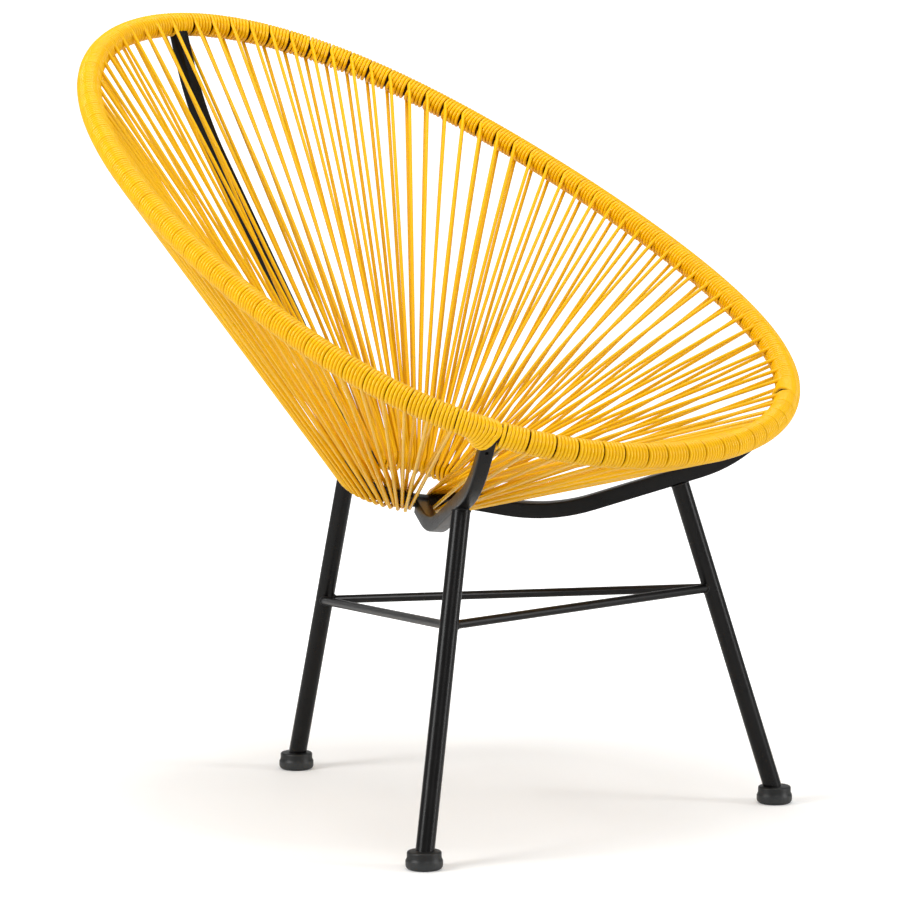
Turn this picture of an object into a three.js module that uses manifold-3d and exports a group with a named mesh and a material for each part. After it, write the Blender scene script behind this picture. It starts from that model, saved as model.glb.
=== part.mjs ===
// A corded egg-shaped lounge chair on a welded tube frame.
// Millimetres, +Z up, the floor at Z = 0, the sitter faces -Y, and the sitter's left hand is at +X.
import * as THREE from 'three';
import { mergeVertices } from 'three/addons/utils/BufferGeometryUtils.js';
import Module from 'manifold-3d';

const wasm = await Module();
wasm.setup();

// Cord, wound and stretched over the frame
const cordDiameter = 4.4;
const frontLoops = 18;
const sideLoops = 40;
const cordClearance = 0.3;

// Rim, a round tube bent to an egg that stands higher behind
const rimTubeDiameter = 19;
const rimHalfWidth = 346;
const rimWidthEgg = 17;
const rimWidthFlat = 10.4;
const rimHalfDepth = 444.6;
const rimDepthEgg = 8;
const rimDepthFlat = 5.9;
const rimHalfRise = 220.5;
const rimSideSag = 7.6;
const rimMiddleHeight = 655.5;

// Hub, the small ring that gathers the cords under the sitter
const hubTubeDiameter = 16;
const hubRadius = 71.5;
const hubTilt = 15.1;
const hubBack = 18;
const hubHeight = 369.9;

// Struts, flat-sided tubes from the hub up to the rim
const strutDepth = 18;
const strutWidth = 15.5;
const strutWall = 1.5;
const strutAzimuth = 30.6;
const frontStrutTilt = 6;
const strutHubDrop = 6;
const frontDipReach = 170;
const frontDipHeight = 334.6;
const frontKneeReach = 397;
const frontKneeHeight = 411;
const frontBendTrim = 53;
const backLean = 53;
const backKneeHeight = 779.5;
const backBendTrim = 70;
const backTailReach = 70;
const strutHubGap = 11.5;
const strutRimGap = 15;
const ventDiameter = 3.4;
const ventDrop = 27;

// Legs, round tubes that end in moulded feet
const legDiameter = 21;
const legWall = 1.5;
const frontFootSpread = 272.6;
const frontFootForward = 311;
const backFootBehind = 221;
const frontLegReach = 320;
const backLegReach = 96;
const ankleHeight = 12;

// Feet
const footDiameter = 41;
const footTopDiameter = 38;
const footHeight = 20.5;
const footEdgeRadius = 5;
const footTopChamfer = 1.5;
const footBulgeHeight = 9;

// Brace rods between the legs
const rodDiameter = 10;
const frontBraceHeight = 255;
const backBraceHeight = 210.5;
const backBraceOffset = 3.4;

// Small gaps that welded and fitted pieces keep
const weldGap = 0.3;
const fitGap = 0.3;
const legEndBelowAnkle = 3;
const strutCopeDepth = 4;
const cutOverrun = 40;

// Counts of sides and steps
const rimSteps = 84;
const hubSteps = 36;
const ringSides = 10;
const hubTurnCorners = 3;
const gapSamples = 60;
const tubeSides = 20;
const boreSides = 14;
const footSides = 24;
const rodSides = 12;
const strutSteps = 26;
const ventSides = 8;
const footArcSteps = 3;
const rideShare = 1;
const notchDepth = 1.6;
const notchWidth = 2.5;
const boreCurveRoom = 1;
const pathSamples = 1440;
const frontSectors = 3;
const sideSectors = 5;

// Shares of a whole: the middle, and the back strut's place halfway round the rim and the hub
const middleShare = 0.5;
const backShare = 0.5;

const rimTubeRadius = rimTubeDiameter / 2;
const hubTubeRadius = hubTubeDiameter / 2;
const cordRadius = cordDiameter / 2;
const legRadius = legDiameter / 2;
const up = new THREE.Vector3(0, 0, 1);
const seatMiddle = new THREE.Vector3(0, 0, rimMiddleHeight + rimSideSag);
const fullTurn = Math.PI * 2;

// Half the thickness, corner to corner, of a four-sided cord as it goes round the hub
const cordReach = cordRadius * Math.sqrt(Math.PI / 2);

// The corners of the winding's section, with one flat at each side where a stretched cord leaves it
const exitAngle = Math.acos((rimTubeRadius + cordClearance) / (rimTubeRadius + cordClearance + cordDiameter));
const outerCorner = 4;
const windingAngles = [
  0, exitAngle, Math.PI / 2, Math.PI - exitAngle, Math.PI, Math.PI * 4 / 3, Math.PI * 5 / 3,
];

// Materials
function cordMaterial() {
  return new THREE.MeshStandardMaterial({ color: 0xf2a900, roughness: 0.38, metalness: 0 });
}

function steelMaterial() {
  return new THREE.MeshStandardMaterial({ color: 0x26262a, roughness: 0.5, metalness: 0.25 });
}

function footMaterial() {
  return new THREE.MeshStandardMaterial({ color: 0x1b1b1d, roughness: 0.6, metalness: 0 });
}

function radians(degrees) {
  return THREE.MathUtils.degToRad(degrees);
}

// The rim's middle line, from the front centre round by the sitter's left to the back
class RimCurve extends THREE.Curve {
  getPoint(share, target = new THREE.Vector3()) {
    const turn = share * fullTurn;
    return target.set(
      rimHalfWidth * Math.sin(turn) + rimWidthEgg * Math.sin(turn * 2) + rimWidthFlat * Math.sin(turn * 3),
      rimDepthEgg * (Math.cos(turn * 2) - 1) + rimDepthFlat * Math.cos(turn * 3) - rimHalfDepth * Math.cos(turn),
      rimMiddleHeight + rimSideSag * Math.cos(turn * 2) - rimHalfRise * Math.cos(turn),
    );
  }
}

// The hub's middle line, a circle tilted up behind, from its front centre round the same way
class HubCurve extends THREE.Curve {
  getPoint(share, target = new THREE.Vector3()) {
    const turn = share * fullTurn;
    const reach = hubRadius * Math.cos(turn);
    return target.set(
      hubRadius * Math.sin(turn),
      hubBack - reach * Math.cos(radians(hubTilt)),
      hubHeight - reach * Math.sin(radians(hubTilt)),
    );
  }
}

const rimCurve = new RimCurve();
const hubCurve = new HubCurve();
rimCurve.arcLengthDivisions = pathSamples;
const rimLength = rimCurve.getLength();

// A point and a direction on a closed curve, for shares that may run past its seam
function ringPoint(curve, share) {
  return curve.getPointAt(THREE.MathUtils.euclideanModulo(share, 1));
}

function ringTangent(curve, share) {
  return curve.getTangentAt(THREE.MathUtils.euclideanModulo(share, 1));
}

// The share of the rim's length where a strut at the given azimuth meets it
function rimShareAtAzimuth(azimuth) {
  let best = 0;
  let leastMiss = Infinity;
  for (let step = 0; step <= pathSamples; step++) {
    const share = step / pathSamples;
    const point = rimCurve.getPointAt(share);
    const miss = Math.abs(Math.atan2(point.x, hubBack - point.y) - azimuth);
    if (miss < leastMiss) {
      leastMiss = miss;
      best = share;
    }
  }
  return best;
}

const strutRimShare = rimShareAtAzimuth(radians(strutAzimuth));

// A frame at a point of a ring: along it, and across it toward and away from the seat
function ringFrame(curve, share, toward) {
  const centre = ringPoint(curve, share);
  const along = ringTangent(curve, share);
  const pull = toward.clone().sub(centre);
  pull.addScaledVector(along, -pull.dot(along)).normalize();
  const inside = along.clone().cross(pull).normalize();
  if (inside.dot(seatMiddle.clone().sub(centre)) < 0) {
    inside.negate();
  }
  return { centre, along, pull, inside };
}

// One body swept round a closed curve
function closedTube(curve, radius, steps, sides) {
  const positions = [];
  const indices = [];
  for (let step = 0; step < steps; step++) {
    const share = step / steps;
    const centre = ringPoint(curve, share);
    const along = ringTangent(curve, share);
    const side = up.clone().cross(along).normalize();
    const top = along.clone().cross(side);
    for (let corner = 0; corner < sides; corner++) {
      const turn = (corner / sides) * fullTurn;
      const point = centre.clone();
      point.addScaledVector(side, Math.cos(turn) * radius);
      point.addScaledVector(top, Math.sin(turn) * radius);
      positions.push(point.x, point.y, point.z);
      const nextCorner = (corner + 1) % sides;
      const near = step * sides;
      const far = ((step + 1) % steps) * sides;
      indices.push(near + corner, near + nextCorner, far + nextCorner);
      indices.push(near + corner, far + nextCorner, far + corner);
    }
  }
  return indexedGeometry(positions, indices);
}

function indexedGeometry(positions, indices) {
  const geometry = new THREE.BufferGeometry();
  geometry.setAttribute('position', new THREE.Float32BufferAttribute(positions, 3));
  geometry.setIndex(indices);
  return geometry;
}

// Every second loop rides on its neighbours at the hub, where the ring is too short for all side by side
function hubLift(loop) {
  return loop % 2 === 0 ? 0 : cordDiameter * rideShare;
}

// One ring of the winding on the rim, its corners counted from the outside round by the side toward the hub
function windingRing(frame, shift, radius) {
  const middle = frame.centre.clone().addScaledVector(frame.along, shift);
  return windingAngles.map((angle) => {
    const point = middle.clone().addScaledVector(frame.inside, -Math.cos(angle) * radius);
    return point.addScaledVector(frame.pull, Math.sin(angle) * radius);
  });
}

// The rings of a loop's cord round the far side of the hub: out, before, in and after at each corner
function hubTurnRings(frame, lift) {
  const reach = hubTubeRadius + cordClearance + cordReach + lift;
  const rings = [];
  for (let corner = 0; corner < hubTurnCorners; corner++) {
    const angle = -((corner + middleShare) / hubTurnCorners) * Math.PI;
    const way = frame.inside.clone().multiplyScalar(-Math.cos(angle)).addScaledVector(frame.pull, Math.sin(angle));
    const point = (distance, shift) => frame.centre.clone()
      .addScaledVector(way, distance / Math.cos(Math.PI / 2 / hubTurnCorners))
      .addScaledVector(frame.along, shift);
    rings.push([
      point(reach + cordReach, 0), point(reach, -cordRadius),
      point(reach - cordReach, 0), point(reach, cordRadius),
    ]);
  }
  return rings;
}

// A ring's corners, counted from the one that twists a straight cord least on its way to another ring
function leastTwisted(corners, ring, toward) {
  const turned = ring.map((_, first) => [...ring.slice(first), ...ring.slice(0, first)]);
  const match = (order) => order.reduce((sum, corner, k) => sum + corners[corner].dot(corners[toward[k]]), 0);
  return turned.reduce((best, order) => (match(order) > match(best) ? order : best));
}

// Joins rings of equal length, each to the next, and leaves out the quads that a test names
function skinBetween(faces, rings, isOpen) {
  for (let ring = 0; ring + 1 < rings.length; ring++) {
    const near = rings[ring];
    const far = rings[ring + 1];
    for (let corner = 0; corner < near.length; corner++) {
      const next = (corner + 1) % near.length;
      if (!isOpen(ring, corner)) {
        faces.push(near[corner], near[next], far[next], near[corner], far[next], far[corner]);
      }
    }
  }
}

function addRing(corners, points) {
  return points.map((point) => corners.push(point) - 1);
}

// The share of the hub's circle that lies at a strut's azimuth
function hubShareAtAzimuth(azimuth) {
  return Math.atan2(Math.sin(azimuth) * Math.cos(radians(hubTilt)), Math.cos(azimuth)) / fullTurn;
}

const strutHubShare = hubShareAtAzimuth(radians(strutAzimuth));

// The stretches of rim and hub that lie between two struts
function windingStretches() {
  const rimGap = strutRimGap / rimLength;
  const hubGap = strutHubGap / (hubRadius * fullTurn);
  return [
    {
      place: 'front', loops: frontLoops, sectors: frontSectors,
      rimFrom: rimGap - strutRimShare, rimTo: strutRimShare - rimGap,
      hubFrom: hubGap - strutHubShare, hubTo: strutHubShare - hubGap,
    },
    {
      place: 'left', loops: sideLoops, sectors: sideSectors,
      rimFrom: strutRimShare + rimGap, rimTo: backShare - rimGap,
      hubFrom: strutHubShare + hubGap, hubTo: backShare - hubGap,
    },
    {
      place: 'right', loops: sideLoops, sectors: sideSectors,
      rimFrom: backShare + rimGap, rimTo: 1 - strutRimShare - rimGap,
      hubFrom: backShare + hubGap, hubTo: 1 - strutHubShare - hubGap,
    },
  ];
}

// Solids for cuts
function solid(geometry) {
  const bare = geometry.clone();
  bare.deleteAttribute('normal');
  bare.deleteAttribute('uv');
  const merged = mergeVertices(bare);
  return new wasm.Manifold(new wasm.Mesh({
    numProp: 3,
    vertProperties: merged.attributes.position.array,
    triVerts: merged.index.array,
  }));
}

function cutGeometry(body, cutters) {
  let rest = solid(body);
  for (const cutter of cutters) {
    rest = rest.subtract(solid(cutter));
  }
  return plainGeometry(rest);
}

function plainGeometry(body) {
  const mesh = body.getMesh();
  return indexedGeometry(Array.from(mesh.vertProperties), Array.from(mesh.triVerts));
}

// A straight bar or tube from one point to another
function barBetween(start, end, outline) {
  const geometry = new THREE.ExtrudeGeometry(outline, {
    depth: start.distanceTo(end), steps: 1, bevelEnabled: false, curveSegments: tubeSides,
  });
  const turn = new THREE.Quaternion().setFromUnitVectors(up, end.clone().sub(start).normalize());
  return geometry.applyQuaternion(turn).translate(start.x, start.y, start.z);
}

function roundOutline(radius, sides) {
  const points = [];
  for (let corner = 0; corner < sides; corner++) {
    const turn = (corner / sides) * fullTurn;
    points.push(new THREE.Vector2(Math.cos(turn) * radius, Math.sin(turn) * radius));
  }
  return points;
}

function roundShape(radius, sides) {
  return new THREE.Shape(roundOutline(radius, sides));
}

function tubeShape(radius, wall) {
  const shape = roundShape(radius, tubeSides);
  shape.holes.push(new THREE.Path(roundOutline(radius - wall, boreSides)));
  return shape;
}

function rectangleOutline(width, depth) {
  return [
    new THREE.Vector2(-width / 2, -depth / 2), new THREE.Vector2(width / 2, -depth / 2),
    new THREE.Vector2(width / 2, depth / 2), new THREE.Vector2(-width / 2, depth / 2),
  ];
}

// The section of a strut, its width across the strut's upright plane
function strutShape() {
  const shape = new THREE.Shape(rectangleOutline(strutWidth, strutDepth));
  shape.holes.push(new THREE.Path(rectangleOutline(strutWidth - strutWall * 2, strutDepth - strutWall * 2)));
  return shape;
}

// A strut's middle line in its own upright plane, X outward from the hub's axis and Z up
function bentLine(start, corners, end, trim) {
  const line = new THREE.CurvePath();
  let from = start;
  corners.forEach((corner, index) => {
    const next = index + 1 < corners.length ? corners[index + 1] : end;
    const before = corner.clone().add(from.clone().sub(corner).setLength(trim));
    const after = corner.clone().add(next.clone().sub(corner).setLength(trim));
    line.add(new THREE.LineCurve3(from, before));
    line.add(new THREE.QuadraticBezierCurve3(before, corner, after));
    from = after;
  });
  line.add(new THREE.LineCurve3(from, end));
  return line;
}

function inPlane(reach, height) {
  return new THREE.Vector3(reach, 0, height);
}

// A ring's middle line where it crosses a strut's plane, in that plane
function crossing(point) {
  return inPlane(Math.hypot(point.x, point.y - hubBack), point.z);
}

function shortOf(target, from, distance) {
  return target.clone().add(from.clone().sub(target).setLength(distance));
}

function frontStrutLine() {
  const rim = crossing(rimCurve.getPointAt(strutRimShare));
  const hub = crossing(hubCurve.getPointAt(strutHubShare));
  const dip = inPlane(frontDipReach, frontDipHeight);
  const knee = inPlane(frontKneeReach, frontKneeHeight);
  const start = inPlane(hub.x + hubTubeRadius - strutCopeDepth, hub.z - strutHubDrop);
  const line = bentLine(start, [dip, knee], shortOf(rim, knee, strutCopeDepth), frontBendTrim);
  return { line, start, dip, knee, rim };
}

// The back strut runs straight under the hub ring, its upper face on the ring
function backStrutLine() {
  const rim = crossing(rimCurve.getPointAt(backShare));
  const hub = crossing(hubCurve.getPointAt(backShare));
  const lean = radians(backLean);
  const along = inPlane(Math.cos(lean), Math.sin(lean));
  const below = inPlane(Math.sin(lean), -Math.cos(lean));
  const touch = hub.clone().addScaledVector(below, hubTubeRadius + weldGap + strutDepth / 2);
  const knee = touch.clone().addScaledVector(along, (backKneeHeight - touch.z) / along.z);
  const start = touch.clone().addScaledVector(along, (backTailReach - touch.x) / along.x);
  const line = bentLine(start, [knee], shortOf(rim, knee, strutCopeDepth), backBendTrim);
  return { line, start, dip: start, knee, rim };
}

// Where a strut's own plane stands: on the hub's axis at its azimuth, tilted about the line between its ends
function strutPlane({ start, rim }, azimuth, tilt) {
  const stand = new THREE.Matrix4().makeRotationZ(azimuth - Math.PI / 2).setPosition(0, hubBack, 0);
  const lean = new THREE.Matrix4().makeRotationAxis(rim.clone().sub(start).normalize(), tilt);
  const back = start.clone().negate();
  return stand
    .multiply(new THREE.Matrix4().makeTranslation(start.x, start.y, start.z))
    .multiply(lean)
    .multiply(new THREE.Matrix4().makeTranslation(back.x, back.y, back.z));
}

// The small round vent in the outer face near the rim
function ventCutter({ rim, knee }) {
  const along = knee.clone().sub(rim).normalize();
  const outward = new THREE.Vector3(-along.z, 0, along.x);
  const face = rim.clone().addScaledVector(along, ventDrop).addScaledVector(outward, strutDepth / 2);
  const inner = face.clone().addScaledVector(outward, -strutWall * 2);
  const outer = face.clone().addScaledVector(outward, strutWall * 2);
  return barBetween(inner, outer, roundShape(ventDiameter / 2, ventSides));
}

function strutMesh(name, shape, plane) {
  const geometry = new THREE.ExtrudeGeometry(strutShape(), {
    steps: strutSteps, extrudePath: shape.line, bevelEnabled: false,
  });
  const toPlane = plane.clone().invert();
  const rimCutter = closedTube(rimCurve, rimTubeRadius + weldGap, rimSteps, ringSides).applyMatrix4(toPlane);
  const hubCutter = closedTube(hubCurve, hubTubeRadius + weldGap, hubSteps, ringSides).applyMatrix4(toPlane);
  const cut = cutGeometry(geometry, [rimCutter, hubCutter, ventCutter(shape)]);
  return namedMesh(name, cut.applyMatrix4(plane), steelMaterial());
}

// A leg, from inside its foot up to the strut's lower face, with its top cut to that face
function legParts(place, plane, foot, shape, reach) {
  const slope = shape.knee.clone().sub(shape.dip).normalize();
  const below = new THREE.Vector3(slope.z, 0, -slope.x);
  const middle = shape.dip.clone().addScaledVector(slope, (reach - shape.dip.x) / slope.x);
  const seat = middle.clone().addScaledVector(below, strutDepth / 2 + weldGap);
  const top = seat.clone().applyMatrix4(plane);
  const ankle = new THREE.Vector3(foot.x, foot.y, ankleHeight);
  const way = top.clone().sub(ankle).normalize();
  const end = ankle.clone().addScaledVector(way, -legEndBelowAnkle);
  const past = top.clone().addScaledVector(way, cutOverrun);

  const size = cutOverrun * 4;
  const cutter = new THREE.BoxGeometry(size, size, size);
  cutter.translate(0, 0, size / 2);
  cutter.rotateY(-Math.atan2(slope.z, slope.x));
  cutter.translate(seat.x, 0, seat.z);
  cutter.applyMatrix4(plane);
  const tube = cutGeometry(barBetween(end, past, tubeShape(legRadius, legWall)), [cutter]);

  const boreStart = end.clone().addScaledVector(way, -fitGap);
  const bore = barBetween(boreStart, past, roundShape(legRadius + fitGap, tubeSides));
  const footBody = footGeometry().translate(foot.x, foot.y, 0);
  return {
    meshes: [
      namedMesh(`leg_${place}`, tube, steelMaterial()),
      namedMesh(`foot_${place}`, cutGeometry(footBody, [bore]), footMaterial()),
    ],
    ankle, way, top,
  };
}

// A moulded foot, rounded at the floor and widest a little above it
function footGeometry() {
  const radius = footDiameter / 2;
  const profile = [new THREE.Vector2(0, 0)];
  for (let step = 0; step <= footArcSteps; step++) {
    const turn = (step / footArcSteps) * (Math.PI / 2);
    profile.push(new THREE.Vector2(
      radius - footEdgeRadius + footEdgeRadius * Math.sin(turn),
      footEdgeRadius - footEdgeRadius * Math.cos(turn),
    ));
  }
  profile.push(new THREE.Vector2(radius, footBulgeHeight));
  profile.push(new THREE.Vector2(footTopDiameter / 2, footHeight - footTopChamfer));
  profile.push(new THREE.Vector2(footTopDiameter / 2 - footTopChamfer, footHeight));
  profile.push(new THREE.Vector2(0, footHeight));
  return new THREE.LatheGeometry(profile, footSides).rotateX(Math.PI / 2);
}

function legAtHeight(leg, height) {
  return leg.ankle.clone().addScaledVector(leg.way, (height - leg.ankle.z) / leg.way.z);
}

// A brace rod between two legs, its ends cut round to their tubes
function rodMesh(name, start, end, legs) {
  const cutters = legs.map((leg) => barBetween(
    leg.ankle, leg.top, roundShape(legRadius + weldGap, tubeSides),
  ));
  const bar = barBetween(start, end, roundShape(rodDiameter / 2, rodSides));
  return namedMesh(name, cutGeometry(bar, cutters), steelMaterial());
}

function namedMesh(name, geometry, material) {
  const mesh = new THREE.Mesh(geometry, material);
  mesh.name = name;
  return mesh;
}

// The cord of part of a stretch: wound along the rim, and from each loop stretched round the hub and back
function cordMesh(stretch, sector) {
  const spans = stretch.loops - 1;
  const perSector = stretch.loops / stretch.sectors;
  const first = Math.round(sector * perSector);
  const last = Math.round((sector + 1) * perSector) - 1;
  const crest = rimTubeRadius + cordClearance + cordDiameter;
  const bore = (rimTubeRadius + cordClearance + boreCurveRoom) / Math.cos(exitAngle / 2);
  const corners = [];
  const faces = [];
  const outer = [];
  const inner = [];
  const openRings = [];
  for (let loop = first; loop <= last; loop++) {
    const { rim, hub } = loopFrames(stretch, loop);
    const before = addRing(corners, windingRing(rim, -cordRadius, crest));
    const after = addRing(corners, windingRing(rim, cordRadius, crest));
    openRings.push(outer.length);
    outer.push(before, after);
    inner.push(addRing(corners, windingRing(rim, -cordRadius, bore)));
    if (loop === spans) {
      inner.push(addRing(corners, windingRing(rim, cordRadius, bore)));
    } else {
      outer.push(addRing(corners, windingRing(rim, cordRadius + notchWidth, crest - notchDepth)));
    }
    if (loop === last && loop < spans) {
      const next = loopFrames(stretch, loop + 1).rim;
      outer.push(addRing(corners, windingRing(next, -cordRadius - cordClearance, crest)));
      inner.push(addRing(corners, windingRing(next, -cordRadius - cordClearance, bore)));
    }
    const start = [before[0], before[1], after[1], after[0]];
    const end = [before[outerCorner], before[outerCorner - 1], after[outerCorner - 1], after[outerCorner]];
    const turns = hubTurnRings(hub, hubLift(loop)).map((ring) => addRing(corners, ring));
    const leaving = leastTwisted(corners, start, turns[0]);
    const arriving = leastTwisted(corners, end, turns[turns.length - 1]);
    skinBetween(faces, [leaving, ...turns, arriving], () => false);
  }
  const isExit = (ring, corner) => openRings.includes(ring) && (corner === 0 || corner === outerCorner - 1);
  skinBetween(faces, [...outer, ...inner.reverse(), outer[0]], isExit);
  const geometry = indexedGeometry(corners.flatMap((corner) => corner.toArray()), faces);
  return namedMesh(`cord_${stretch.place}_${sector + 1}`, geometry, cordMaterial());
}

function loopFrames(stretch, loop) {
  const share = loop / (stretch.loops - 1);
  const rimShare = stretch.rimFrom + (stretch.rimTo - stretch.rimFrom) * share;
  const hubShare = stretch.hubFrom + (stretch.hubTo - stretch.hubFrom) * share;
  const rim = ringFrame(rimCurve, rimShare, ringPoint(hubCurve, hubShare));
  const hub = ringFrame(hubCurve, hubShare, rim.centre);
  return { rim, hub };
}

// The middle line of one loop's cord, sampled from the rim to the hub and back
function loopPoints(stretch, loop) {
  const { rim, hub } = loopFrames(stretch, loop);
  const rimReach = rimTubeRadius + cordClearance + cordRadius;
  const turns = hubTurnRings(hub, hubLift(loop)).map(([out, , inner]) => out.clone().lerp(inner, middleShare));
  const stops = [
    rim.centre.clone().addScaledVector(rim.inside, -rimReach), ...turns,
    rim.centre.clone().addScaledVector(rim.inside, rimReach),
  ];
  const points = [];
  for (let stop = 0; stop + 1 < stops.length; stop++) {
    for (let step = 0; step <= gapSamples; step++) {
      points.push(stops[stop].clone().lerp(stops[stop + 1], step / gapSamples));
    }
  }
  return points;
}

// The least gap between the cords of neighbouring loops
function leastCordGap(stretch) {
  let least = Infinity;
  for (let loop = 0; loop + 2 < stretch.loops; loop++) {
    const here = loopPoints(stretch, loop);
    const others = [...loopPoints(stretch, loop + 1), ...loopPoints(stretch, loop + 2)];
    for (const other of others) {
      for (const point of here) {
        least = Math.min(least, point.distanceTo(other) - cordDiameter);
      }
    }
  }
  return least;
}

function buildFrame() {
  const frame = new THREE.Group();
  const front = frontStrutLine();
  const back = backStrutLine();
  const leftPlane = strutPlane(front, radians(strutAzimuth), radians(frontStrutTilt));
  const rightPlane = strutPlane(front, -radians(strutAzimuth), -radians(frontStrutTilt));
  const backPlane = strutPlane(back, Math.PI, 0);
  frame.add(namedMesh('rim_tube', closedTube(rimCurve, rimTubeRadius, rimSteps, ringSides), steelMaterial()));
  frame.add(namedMesh('hub_ring', closedTube(hubCurve, hubTubeRadius, hubSteps, ringSides), steelMaterial()));
  frame.add(strutMesh('strut_left', front, leftPlane));
  frame.add(strutMesh('strut_right', front, rightPlane));
  frame.add(strutMesh('strut_back', back, backPlane));

  const frontFoot = new THREE.Vector3(frontFootSpread, -frontFootForward, 0);
  const left = legParts('left', leftPlane, frontFoot, front, frontLegReach);
  const right = legParts('right', rightPlane, frontFoot.clone().setX(-frontFootSpread), front, frontLegReach);
  const rear = legParts('back', backPlane, new THREE.Vector3(0, backFootBehind, 0), back, backLegReach);
  for (const leg of [left, right, rear]) {
    frame.add(...leg.meshes);
  }

  const leftJoint = legAtHeight(left, frontBraceHeight);
  const rightJoint = legAtHeight(right, frontBraceHeight);
  const rearJoint = legAtHeight(rear, backBraceHeight);
  const besideLeft = rearJoint.clone().setX(backBraceOffset);
  const besideRight = rearJoint.clone().setX(-backBraceOffset);
  frame.add(rodMesh('brace_front', leftJoint, rightJoint, [left, right]));
  frame.add(rodMesh('brace_left', leftJoint, besideLeft, [left, rear]));
  frame.add(rodMesh('brace_right', rightJoint, besideRight, [right, rear]));
  return frame;
}

function buildCords() {
  const cords = new THREE.Group();
  for (const stretch of windingStretches()) {
    console.log(`least gap between cords, ${stretch.place}: ${leastCordGap(stretch).toFixed(2)} mm`);
    for (let sector = 0; sector < stretch.sectors; sector++) {
      cords.add(cordMesh(stretch, sector));
    }
  }
  return cords;
}

const chair = new THREE.Group();
chair.add(buildFrame(), buildCords());

export default chair;
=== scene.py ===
import bpy
import bmesh
import math
from mathutils import Vector, Matrix


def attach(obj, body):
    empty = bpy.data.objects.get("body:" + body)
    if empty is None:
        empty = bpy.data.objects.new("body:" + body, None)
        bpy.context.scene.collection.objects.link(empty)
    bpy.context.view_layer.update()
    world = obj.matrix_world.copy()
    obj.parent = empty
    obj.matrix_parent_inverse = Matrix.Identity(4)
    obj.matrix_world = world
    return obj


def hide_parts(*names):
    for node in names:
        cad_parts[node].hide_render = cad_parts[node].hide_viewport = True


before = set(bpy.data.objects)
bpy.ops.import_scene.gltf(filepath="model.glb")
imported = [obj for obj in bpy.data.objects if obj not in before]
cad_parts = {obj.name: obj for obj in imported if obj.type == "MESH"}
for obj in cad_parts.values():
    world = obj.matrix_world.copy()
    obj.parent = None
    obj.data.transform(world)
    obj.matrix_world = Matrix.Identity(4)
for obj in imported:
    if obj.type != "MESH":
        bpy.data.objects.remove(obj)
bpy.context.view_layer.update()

# Lengths are in millimetres while a piece is worked out, and in metres in its mesh.
MM = 0.001
FULL_TURN = 2 * math.pi

# Rim: an egg from above, its back raised and its sides a little low
RIM_HALF_WIDTH = 346.0
RIM_WIDTH_EGG = 17.0
RIM_WIDTH_FLAT = 10.4
RIM_HALF_DEPTH = 444.6
RIM_DEPTH_EGG = 8.0
RIM_DEPTH_FLAT = 5.9
RIM_MIDDLE_HEIGHT = 655.5
RIM_SIDE_SAG = 7.6
RIM_HALF_RISE = 220.5
RIM_SAMPLES = 2880
RIM_TUBE_RADIUS = 9.5
RIM_STEPS = 240
RIM_SIDES = 20

# Hub ring: tilted, with its front lower
HUB_TUBE_RADIUS = 8.0
HUB_RADIUS = 71.5
HUB_TILT = math.radians(15.1)
HUB_BACK = 18.0
HUB_HEIGHT = 369.9
HUB_RING_STEPS = 96
HUB_SIDES = 28

# Cord, wound on the rim and looped round the hub
CORD_RADIUS = 2.13
CORD_SIDES = 10
WIND_RADIUS = 12.3
WRAP_STEPS = 18
HUB_STEPS = 12
FRONT_SECTORS = 3
SIDE_SECTORS = 5
# Turns on the rim between one loop and the next
FRONT_TURNS = (5.5, 6.5)
SIDE_TURNS = (5.5,)
# Each end of a loop stands this far along the rim from the loop's middle.
FRONT_SHIFT = 1.9
SIDE_SHIFT = 1.5
# How far the wraps beside a loop crowd toward it
EXIT_CROWD = 1.8
# Every second loop rides this far out on the hub.
HUB_RIDE = 3.4
STRUT_HUB_GAP = 11.5
# A strand turns from square to straight over this length.
STRAND_EASE = 3.0
STRAND_STOPS = (0, 1.2, 2.6, 4.5, 7.5, 12)

# Loops, their places counted along the rim from its front centre. In front every second loop
# stands nearer to the one before it, by the pairing.
FRONT_LOOP_COUNT = 18
FRONT_LOOP_FIRST = -232.0
FRONT_LOOP_STEP = 27.7
FRONT_LOOP_PAIRING = 2.1
SIDE_LOOP_COUNT = 40
LEFT_LOOP_FIRST = 279.1
LEFT_LOOP_STEP = 26.7
RIGHT_LOOP_FIRST = 285.6
RIGHT_LOOP_STEP = 26.6
FRONT_LOOPS = [
    FRONT_LOOP_FIRST + FRONT_LOOP_STEP * k - FRONT_LOOP_PAIRING * (k % 2)
    for k in range(FRONT_LOOP_COUNT)]
LEFT_LOOPS = [LEFT_LOOP_FIRST + LEFT_LOOP_STEP * k for k in range(SIDE_LOOP_COUNT)]
RIGHT_LOOPS = [RIGHT_LOOP_FIRST + RIGHT_LOOP_STEP * k for k in range(SIDE_LOOP_COUNT)]

# Struts: flat-sided tube, each in a plane of its own
STRUT_DEPTH = 18.0
STRUT_WIDTH = 15.5
STRUT_EDGE = 1.9
STRUT_EDGE_STEPS = 4
STRUT_AZIMUTH = math.radians(30.6)
STRUT_TILT = math.radians(6)
STRUT_ON_RIM = 247.2
STRUT_COPE = 4.0
STRUT_HUB_DROP = 6.0
STRUT_RIM_STOP = 6.0
STRUT_CREASE = 35
BEND_STEPS = 10
WELD_GAP = 0.3
# Bends of the front strut: reach from the hub's axis, and height
FRONT_DIP = Vector((170, 334.6))
FRONT_KNEE = Vector((397, 411))
FRONT_TRIM = 53.0
BACK_LEAN = math.radians(53)
BACK_KNEE_HEIGHT = 779.5
BACK_TRIM = 70.0
BACK_TAIL_REACH = 70.0
VENT_DROP = 24.0
VENT_DEPTH = 5.0
VENT_RADIUS = 2.2
VENT_SIDES = 24

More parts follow.
